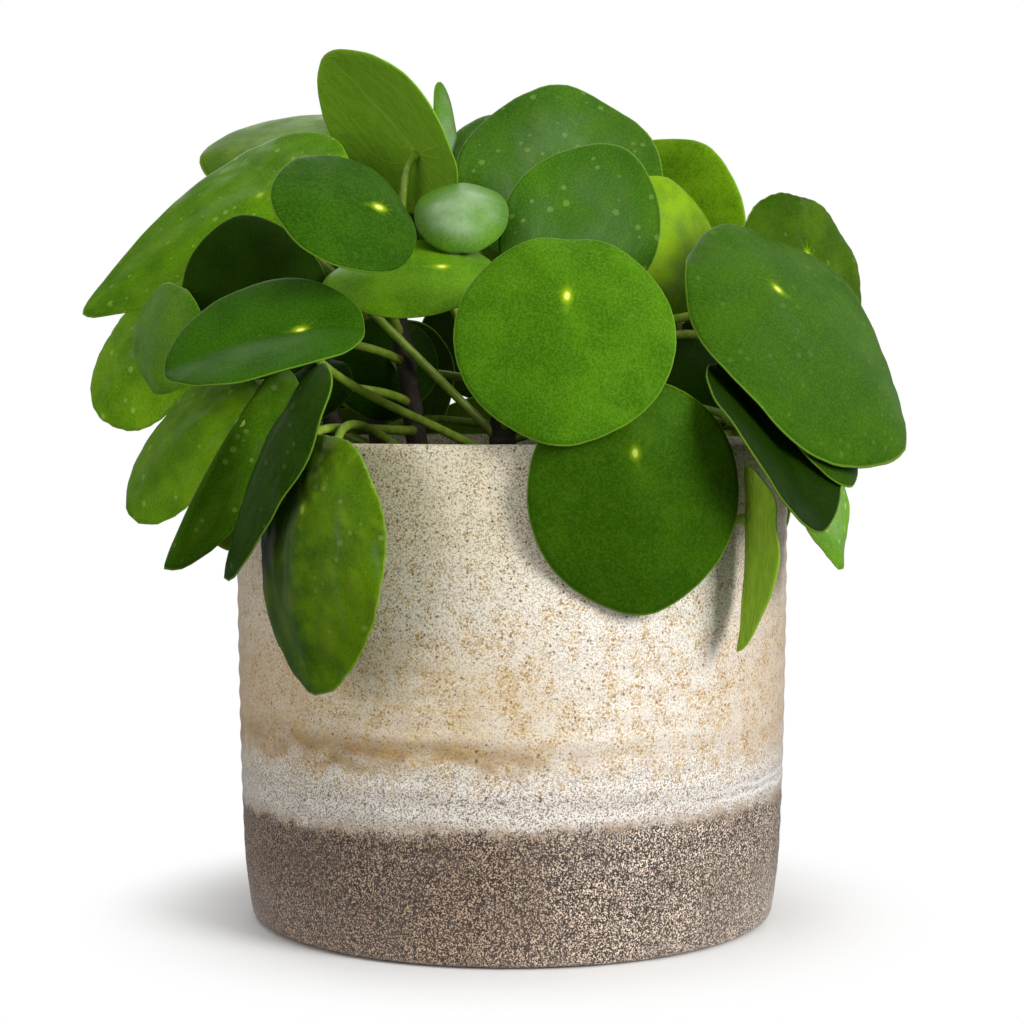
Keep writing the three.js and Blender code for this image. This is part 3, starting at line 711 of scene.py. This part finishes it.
# stem, joint of stalk and blade, facing (right, up), tip from straight down, length and width,
# (dome, fold, bend), (wave height, waves), and what is the leaf's own: sway bends the stalk aside,
# tuck is how far it runs square to the blade, up where it leaves the stem, point how drawn out
# the tip is and taper how much the blade narrows towards it
LEAVES = [
    # in front
    ("main", (14, -85, 176), (0, 15), -3, (54, 57), (3, 4, 4), (0.8, 5)),
    ("right", (31.5, -84, 136), (12, 0), 6, (60, 57), (3, 4, 6), (0.6, 4)),
    ("right", (71, -55, 179), (40, 35), 38, (80, 73), (5, 4, 12), (1.2, 5)),
    ("main", (15, -32, 189), (0, 12), 155, (52, 44), (2, 3, 8), (1.2, 5)),
    ("main", (-14, -38, 200), (0, 40), 180, (32, 26), (4, 4, 18), (0.3, 4)),
    ("left", (-35, -65, 200), (38, 36), -102, (41, 41), (3, 4, 10), (0.6, 4),
     {"sway": (-16, 0, 34)}),
    ("main", (-19, -46, 185.5), (0, 57), -90, (46, 40), (2, 4, 8), (0.5, 4)),
    ("main", (-55, -72, 167.5), (-13, 47), -76, (54, 40), (3, -18, 8), (0.5, 4),
     {"up": 0.41, "sway": (0, 0, -7)}),
    ("left", (-58, -90.5, 143.5), (-62, 20), -30, (62, 30), (2, 10, 8), (0.5, 4),
     {"up": 0.51, "taper": 0.3, "point": 0.12}),
    ("left", (-53, -92, 122), (-45, 5), -4, (64, 50), (3, 10, 12), (0.6, 5),
     {"up": 0.4, "point": 0.12}),
    # at the left
    ("main", (-71, -20, 207), (-24, 28), -57, (88, 52), (2, 10, 4), (1.0, 4),
     {"up": 0.48, "sway": (0, 0, -8), "taper": 0.9}),
    ("left", (-67, -43, 169.5), (19, 10), -172, (46, 42), (2, 5, 8), (0.5, 4)),
    ("outer_left", (-95, -46, 172), (-50, 10), -15, (30, 38), (2, 6, 8), (0.5, 4)),
    ("outer_left", (-104, 3, 165), (-30, 15), -50, (42, 38), (2, 4, 8), (0.8, 5)),
    ("outer_left", (-85, -29, 145), (-38, 26), -42, (54, 36), (2, 5, 10), (0.8, 5)),
    ("outer_left", (-72, -67, 144), (-30, 20), -26, (62, 34), (1, 48, 10), (0.6, 5),
     {"taper": 0.4}),
    ("left", (-53, -35, 157), (-10, 40), -30, (24, 22), (2, 4, 8), (0.5, 4)),
    ("left", (-38, 14, 166), (0, 30), 0, (34, 32), (2, 4, 8), (0.5, 4)),
    ("left_back", (-48, 26, 226), (0, 55), -94, (66, 54), (2, 4, 8), (0.8, 4)),
    ("left", (-27, -4, 220), (135, 27), 155, (54, 46), (2, 8, 8), (0.6, 4)),
    ("main", (-19, 22, 227), (50, 10), 170, (27, 10), (1, 6, 8), (0.4, 4), {"up": 0.84}),
    # at the right
    ("outer_right", (84, -14, 190), (40, 10), -6, (62, 54), (2, 4, 8), (0.6, 7)),
    ("right", (63, -68, 147), (52, 35), 12, (52, 46), (1, -12, 8), (0.6, 4), {"sway": (0, 0, 4)}),
    ("right", (74.5, -55, 158), (52, 35), 12, (50, 40), (2, 3, 8), (0.5, 4),
     {"sway": (0, 0, 20), "tuck": 0.06, "taper": 0.2}),
    ("right", (84, -41, 138), (60, 20), 0, (47, 42), (2, 6, 8), (0.6, 7),
     {"taper": 0.3, "point": 0.12}),
    ("right", (62, -66, 118), (100, 0), 0, (46, 25), (1, -35, 2), (0.6, 5),
     {"taper": 0.3, "point": 0.12}),
    ("right", (48, 0, 160), (10, 30), 0, (36, 36), (2, 4, 8), (0.5, 4)),
    ("outer_right", (47, -4, 187), (45, 10), 165, (42, 52), (2, 4, 8), (0.6, 4)),
    ("outer_right", (41, 40, 196.5), (-25, 0), 150, (50, 54), (2, 4, 8), (0.8, 4)),
    # behind, at the top
    ("main", (13, 8, 206), (0, 20), 175, (60, 62), (2, 4, 8), (1.6, 6)),
    ("back", (-5, 28, 212), (-10, 30), -170, (46, 42), (2, 4, 8), (0.6, 4)),
    ("back", (36, 68, 210), (155, 50), 0, (58, 56), (3, 4, 10), (0.8, 4)),
    ("back", (-7, 66, 222), (-175, 50), 10, (54, 50), (3, 4, 10), (0.8, 5)),
    ("left_back", (-40, 58, 206), (-145, 50), -10, (54, 50), (3, 4, 10), (0.8, 4)),
    # behind, round the rim
    ("outer_right", (90, 32, 172), (100, 35), 0, (58, 56), (3, 4, 12), (1.0, 5)),
    ("outer_right", (70, 80, 170), (135, 35), 10, (60, 58), (3, 4, 12), (0.8, 4)),
    ("back", (43, 92, 166), (160, 30), -10, (50, 46), (3, 4, 12), (0.8, 5)),
    ("back", (-4, 94, 178), (180, 35), 0, (46, 54), (3, 4, 12), (1.0, 4)),
    ("back", (-42, 88, 163), (-160, 30), 10, (56, 52), (3, 4, 12), (0.8, 5)),
    ("left_back", (-76, 68, 178), (-130, 35), -5, (60, 58), (3, 4, 12), (0.8, 4)),
    ("left_back", (-90, 32, 164), (-100, 30), 5, (52, 50), (3, 4, 12), (1.0, 5)),
    ("outer_right", (94, 6, 142), (90, 10), 0, (40, 38), (2, 4, 10), (0.6, 4)),
    ("outer_right", (78, 62, 134), (120, 15), 5, (50, 46), (3, 5, 12), (0.8, 5)),
    ("back", (46, 86, 132), (155, 10), 0, (52, 46), (3, 5, 12), (0.8, 4)),
    ("back", (-56, 87, 132), (-150, 12), -8, (52, 46), (3, 5, 12), (0.8, 5)),
    ("back", (-8, 109, 135), (180, 10), 4, (52, 52), (3, 5, 12), (0.8, 5)),
    ("left_back", (-88, 54, 136), (-120, 15), 0, (48, 44), (3, 5, 12), (0.8, 4)),
]
TOOTHED = (10, 14, 15, 22, 25)  # leaves with a plainly scalloped margin
DOTTED = {  # how bright the dot over the stalk is
    1: 0.9, 2: 0.4, 3: 0.7, 6: 1.0, 7: 1.0, 8: 0.9, 10: 0.35, 11: 0.25, 22: 1.0, 26: 0.3, 32: 0.8,
    33: 0.9, 34: 0.8, 35: 0.9, 36: 0.9, 37: 0.8, 38: 0.9, 39: 0.8, 40: 1.0, 41: 0.8, 43: 0.7,
    44: 0.8, 45: 0.7, 46: 0.8, 47: 0.7,
}
WORN_AND_SHEEN = {  # how marked a blade is: darker on one side, quilted, with clearer pores and streaks of painted sheen
    3: 0.15, 4: 0.3, 9: 0.3, 10: 1.0, 11: 0.4, 14: 0.4, 15: 0.5, 16: 0.5, 22: 0.4, 25: 0.4, 30: 0.3,
    31: 0.5,
}
SHADED = {38: 0.25, 39: 0.25, 44: 0.6, 45: 0.6, 46: 0.6}  # undersides that stay dark among the stems
LOOKS = {  # where a leaf differs: how yellow it is, how light, which is painted light and shade over its own tone, and how strong its painted sheen
    1: (0.16, 0.9, 0), 2: (0.16, 0.48, 0), 3: (0.14, 0.6, 0.02), 4: (0.08, 0.76, 0.07),
    5: (0.2, 1.02, 0.48), 6: (0.08, 0.5, 0), 7: (0.3, 1.1, 0), 8: (0.06, 0.58, 0),
    9: (0.12, 0.29, 0), 10: (0.55, 0.72, 0.02), 11: (0.3, 1.2, 0), 12: (0.16, 0.17, 0),
    13: (0.28, 0.95, 0.05), 14: (0.45, 1.5, 0), 15: (0.45, 1.2, 0), 16: (0.2, 0.62, 0),
    17: (0.1, 0.25, 0), 18: (0.1, 0.25, 0), 19: (0.6, 0.62, 0), 20: (0.28, 1.7, 0),
    21: (0.2, 0.9, 0.3), 22: (0.4, 0.46, 0), 23: (0.1, 0.14, 0), 24: (0.15, 0.36, 0),
    25: (0.25, 1.5, 0.2), 26: (0.8, 1.2, 0.05), 27: (0.1, 0.3, 0), 28: (0.9, 1.0, 0.05),
    29: (0.45, 1.0, 0), 30: (0.12, 0.76, 0.14), 31: (0.15, 0.88, 0.12),
}
PLAIN_LOOKS = (0.25, 0.85, 0)


def leaf_axes(facing, roll):
    """Directions towards the tip, across the blade and out of its upper face."""
    turn, rise, roll = np.radians([*facing, roll])
    face = np.array([math.cos(rise) * math.sin(turn), -math.cos(rise) * math.cos(turn), math.sin(rise)])
    down = np.array([math.sin(rise) * math.sin(turn), -math.sin(rise) * math.cos(turn), -math.cos(rise)])
    right = np.array([math.cos(turn), math.sin(turn), 0])
    tip = down * math.cos(roll) + right * math.sin(roll)
    return tip, np.cross(face, tip), face


def edge_distance(leaf, angle):
    """How far the margin lies from the joint, at an angle from the tip."""
    length, width = leaf["size"]
    half_length, half_width = length / 2, width / 2
    shift = length * (0.5 - UMBO_SHARE)
    a = (np.cos(angle) / half_length) ** 2 + (np.sin(angle) / half_width) ** 2
    b = -2 * np.cos(angle) * shift / half_length ** 2
    c = (shift / half_length) ** 2 - 1
    oval = (-b + np.sqrt(b * b - 4 * a * c)) / (2 * a)
    point = leaf["point"] * np.exp(-(angle / TIP_SPREAD) ** 2)
    dip = BASE_DIP * np.exp(-((math.pi - np.abs(angle)) / BASE_SPREAD) ** 2)
    return oval * (1 + point - dip)


def toothed(leaf, angle):
    """The margin's shallow scallops, as a share of the distance to it."""
    return 1 - leaf["teeth"] * (1 - np.abs(np.sin(TEETH / 2 * angle + leaf["at"][1])))


def blade_point(leaf, share, angle):
    """A point of a blade's middle surface, in the leaf's own axes."""
    at, (dome, fold, bend), (wave, waves) = leaf["at"], leaf["form"], leaf["wave"]
    distance = share * edge_distance(leaf, angle) * (1 + (toothed(leaf, angle) - 1) * share ** 6)
    along = distance * np.cos(angle)
    narrowed = 1 - leaf["taper"] * np.maximum(0, along) / leaf["size"][0]
    side = distance * np.sin(angle) * narrowed
    ripple = wave * share ** 3 * np.sin(waves * angle + at[0])
    pucker = np.sin(0.42 * along + at[0]) * np.cos(0.37 * side + at[1])
    pucker += 0.6 * np.sin(0.31 * along - 0.55 * side + at[2])
    navel = -NAVEL * np.exp(-(distance / NAVEL_RADIUS) ** 2)
    folded = math.radians(fold)
    turn = math.radians(bend) * along / leaf["size"][0]
    height = ripple + PUCKER * pucker * share + navel - dome * share ** 2
    height -= np.abs(side) * math.sin(folded)
    return np.stack([along * np.cos(turn) + height * np.sin(turn), side * math.cos(folded),
                     height * np.cos(turn) - along * np.sin(turn)], -1)


def blade_mesh(leaf):
    """Points, faces, disc and flat places of a blade, both faces and the rounded edge."""
    tip, across, face = leaf_axes(leaf["facing"], leaf["roll"])
    angles = -math.pi + np.arange(SPOKES) * 2 * math.pi / SPOKES
    shares = (np.arange(1, RINGS + 1) / RINGS) ** 0.85
    share, angle = [grid.ravel() for grid in np.meshgrid(shares, angles, indexing="ij")]
    share, angle = np.append(share, 0.001), np.append(angle, 0)
    here = blade_point(leaf, share, angle)
    outward = blade_point(leaf, share + 0.01, angle) - here
    beside = blade_point(leaf, share, angle + 0.02) - here
    square = np.cross(outward, beside)
    square /= np.linalg.norm(square, axis=1)[:, None]
    square[-1] = (0, 0, 1)
    half = BLADE_THICKNESS / 2 * (1 - EDGE_THINNING * share ** 10)
    lift = square * half[:, None]
    edge = blade_point(leaf, np.full(SPOKES, 1.004), angles)
    local = np.concatenate([here + lift, edge, here - lift])
    points = np.asarray(leaf["at"]) + local @ np.array([tip, across, face])
    all_share = np.concatenate([share, np.ones(SPOKES), share])
    all_angle = np.concatenate([angle, angles, angle])
    disc = all_share[:, None] * np.stack([np.cos(all_angle), np.sin(all_angle)], 1)
    flat = disc * edge_distance(leaf, all_angle)[:, None]
    count = SPOKES * RINGS + 1
    lower = count + SPOKES
    outer = SPOKES * (RINGS - 1)
    top, edges, bottom = [], [], []
    for spoke in range(SPOKES):
        beside = (spoke + 1) % SPOKES
        top.append((count - 1, spoke, beside))
        bottom.append((lower + count - 1, lower + beside, lower + spoke))
        for row in range(0, outer, SPOKES):
            a, b, c, d = row + spoke, row + SPOKES + spoke, row + SPOKES + beside, row + beside
            top.append((a, b, c, d))
            bottom.append((lower + d, lower + c, lower + b, lower + a))
        a, b = outer + spoke, outer + beside
        edges.append((a, count + spoke, count + beside, b))
        edges.append((count + spoke, lower + a, lower + b, count + beside))
    return points, top + edges, bottom, disc, flat


def bezier(points, count):
    """Points along a cubic curve."""
    share = np.linspace(0, 1, count)[:, None]
    a, b, c, d = points
    return (a * (1 - share) ** 3 + b * 3 * share * (1 - share) ** 2
            + c * 3 * share ** 2 * (1 - share) + d * share ** 3)


def through(points, count):
    """Points along a smooth curve through every given point."""
    points = [2 * points[0] - points[1], *points, 2 * points[-1] - points[-2]]
    parts = []
    for p0, p1, p2, p3 in zip(points, points[1:], points[2:], points[3:]):
        t0, t1, t2 = [np.linalg.norm(b - a) ** 0.5 for a, b in ((p0, p1), (p1, p2), (p2, p3))]
        start = ((p1 - p0) / t0 - (p2 - p0) / (t0 + t1) + (p2 - p1) / t1) * t1
        end = ((p2 - p1) / t1 - (p3 - p1) / (t1 + t2) + (p3 - p2) / t2) * t1
        parts.append(bezier([p1, p1 + start / 3, p2 - end / 3, p2], count)[:-1])
    return np.concatenate([*parts, [points[-2]]])


def stalk_path(leaf, start):
    """The stalk's middle line: from its stem to the joint, over the rim for a leaf that hangs."""
    face = leaf_axes(leaf["facing"], leaf["roll"])[2]
    joint, sway = np.asarray(leaf["at"], float), np.asarray(leaf["sway"], float)
    end = joint - face * STALK_STOP
    reach = joint - start
    length = np.linalg.norm(reach)
    if joint[2] < HANGING_BELOW and math.hypot(*joint[:2]) > POT_RADIUS:
        level = reach[:2] / np.linalg.norm(reach[:2])
        across = start[:2] @ level
        offset = start[:2] @ start[:2] - (POT_RADIUS - POT_WALL / 2) ** 2
        to_rim = math.sqrt(across ** 2 - offset) - across
        over = np.array([*(start[:2] + level * to_rim), POT_HEIGHT + OVER_RIM]) + sway
        return through([start, over, joint - face * UNDER_BLADE, end], 12)
    leave = start + reach * STALK_LEAD + sway + (0, 0, length * STALK_RISE)
    return bezier([start, leave, joint - face * length * leaf["tuck"], end], 30)


# A stalk is a little swollen where it leaves the stem and flared where it meets the blade
stalks, given, result = new_growth("stalk", {"Foot": "Float", "Top": "Float", "Material": "Material"})
path, way, girth = path_in(stalks, given)
marked = put(stalks, "GeometryNodeStoreNamedAttribute",
             {"Geometry": path, "Name": "way", "Value": way})
swollen = fade(stalks, way, 0.0, 0.05, 1.35, 1.0)
flared = fade(stalks, way, 0.96, 1.0, 1.0, 1.5)
girth = times(stalks, girth, swollen, flared)
grown(stalks, result, given["Material"], tube_along(stalks, marked.outputs[0], girth, STALK_SIDES))

FIELDS = ("stem", "at", "facing", "roll", "size", "form", "wave")
USUAL = {"sway": (0, 0, 0), "tuck": 0.22, "point": 0.05, "taper": 0, "teeth": 0.003}
leaves = [{**USUAL, **dict(zip(FIELDS, row)), **dict(*row[len(FIELDS):])} for row in LEAVES]
for number in TOOTHED:
    leaves[number - 1]["teeth"] = DEEP_TEETH
for stem in STEMS:  # the lower a leaf hangs, the lower on its stem it grows
    own = sorted((leaf for leaf in leaves if leaf["stem"] == stem), key=lambda leaf: leaf["at"][2])
    for rank, leaf in enumerate(own):
        usual = LOWEST_LEAF + (HIGHEST_LEAF - LOWEST_LEAF) * rank / (len(own) - 1)
        leaf.setdefault("up", usual)

for number, leaf in enumerate(leaves, 1):
    points, upper_faces, under_faces, disc, flat = blade_mesh(leaf)
    stalk = new_line("stalk", stalk_path(leaf, along_stem(leaf["stem"], leaf["up"])))
    applied(stalk, stalks, Foot=STALK_FOOT * MM, Top=STALK_TOP * MM, Material=stalk_skin)
    tube_points = np.empty(len(stalk.data.vertices) * 3)
    stalk.data.vertices.foreach_get("co", tube_points)
    tube_points = tube_points.reshape(-1, 3) / MM
    tube_faces = [[len(points) + corner for corner in face.vertices] for face in stalk.data.polygons]
    tube_way = [value.value for value in stalk.data.attributes["way"].data]
    bpy.data.meshes.remove(stalk.data)

    blade_count = len(points)
    faces = upper_faces + under_faces + tube_faces
    kinds = [0] * len(upper_faces) + [1] * len(under_faces) + [2] * len(tube_faces)
    piece = new_piece(f"pilea_leaf_{number:02d}", np.concatenate([points, tube_points]), faces,
                      [upper, under, stalk_skin])
    mesh = piece.data
    mesh.polygons.foreach_set("material_index", kinds)
    corners = np.empty(len(mesh.loops), int)
    mesh.loops.foreach_get("vertex_index", corners)
    spare = np.zeros((len(tube_points), 2))
    for name, places in (("disc", disc), ("flat", flat)):
        layer = mesh.uv_layers.new(name=name)
        layer.uv.foreach_set("vector", np.concatenate([places, spare])[corners].ravel())
    count = len(mesh.vertices)
    traits = (DOTTED.get(number, 0), number / len(leaves), WORN_AND_SHEEN.get(number, 0))
    for name, values in (("tone_light_sheen", LOOKS.get(number, PLAIN_LOOKS)), ("trait", traits)):
        vectors = mesh.attributes.new(name, "FLOAT_VECTOR", "POINT")
        vectors.data.foreach_set("vector", np.tile(values, count))
    shades = [SHADED.get(number, 1.0)] * count
    for name, values in (("shade", shades), ("way", [1.0] * blade_count + tube_way)):
        floats = mesh.attributes.new(name, "FLOAT", "POINT")
        floats.data.foreach_set("value", values)
    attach(piece, "root")
    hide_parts(f"leaf_{number:02d}")


# ---- Floor and light ----
# A plain pale studio floor. A soft key light stands in front to the right, well above the plant.
# Weaker and larger ones hang overhead, stand in front to the left and stand high behind.

floor_material, tree, shader = new_material("studio_floor")
place = put(tree, "ShaderNodeTexCoord").outputs["Object"]
away = length_of(tree, place)
feed(tree, shader, Base_Color=screen(250, 250, 250), Roughness=0.9, Specular_IOR_Level=0.1)
seen = put(tree, "ShaderNodeLightPath").outputs["Is Camera Ray"]
glow = put(tree, "ShaderNodeEmission", {"Strength": fade(tree, seen, 0.0, 1.0, 0.25, 1.0)})
blend = put(tree, "ShaderNodeMixShader", {
    0: fade(tree, away, 0.074, 0.130), 1: shader.outputs[0], 2: glow.outputs[0]})
tree.links.new(blend.outputs[0], tree.nodes["Material Output"].inputs["Surface"])
floor = new_piece("floor", [(-3000, -3000, -0.2), (3000, -3000, -0.2), (3000, 3000, -0.2),
                            (-3000, 3000, -0.2)], [(0, 1, 2, 3)], [floor_material])


def soft_light(name, place, target, size, watts):
    """A square lamp that faces its target; its place, target and size are in metres."""
    lamp = bpy.data.lights.new(name, "AREA")
    lamp.size, lamp.energy = size, watts
    light = bpy.data.objects.new(name, lamp)
    light.location = place
    away = np.subtract(place, target)
    light.rotation_euler = (math.atan2(math.hypot(away[0], away[1]), away[2]), 0,
                            math.atan2(away[0], -away[1]))
    bpy.context.collection.objects.link(light)


soft_light("key", (1.00, -0.86, 0.56), (0, 0, 0.12), 0.60, 18)
soft_light("top", (0.15, -0.25, 1.30), (0, 0, 0.12), 1.20, 4)
soft_light("fill", (-0.9, -1.0, 0.3), (0, 0, 0.08), 0.9, 6.2)
soft_light("back", (-0.3, 0.9, 0.9), (0, 0, 0.18), 0.7, 3)

world = bpy.data.worlds.new("studio")
world.use_nodes = True
tree = world.node_tree
seen = put(tree, "ShaderNodeLightPath").outputs["Is Camera Ray"]
background = tree.nodes["Background"]
background.inputs["Color"].default_value = (1, 1, 1, 1)
tree.links.new(fade(tree, seen, 0.0, 1.0, 0.38, 1.0), background.inputs["Strength"])
bpy.context.scene.world = world
bpy.context.scene.view_settings.view_transform = "Standard"
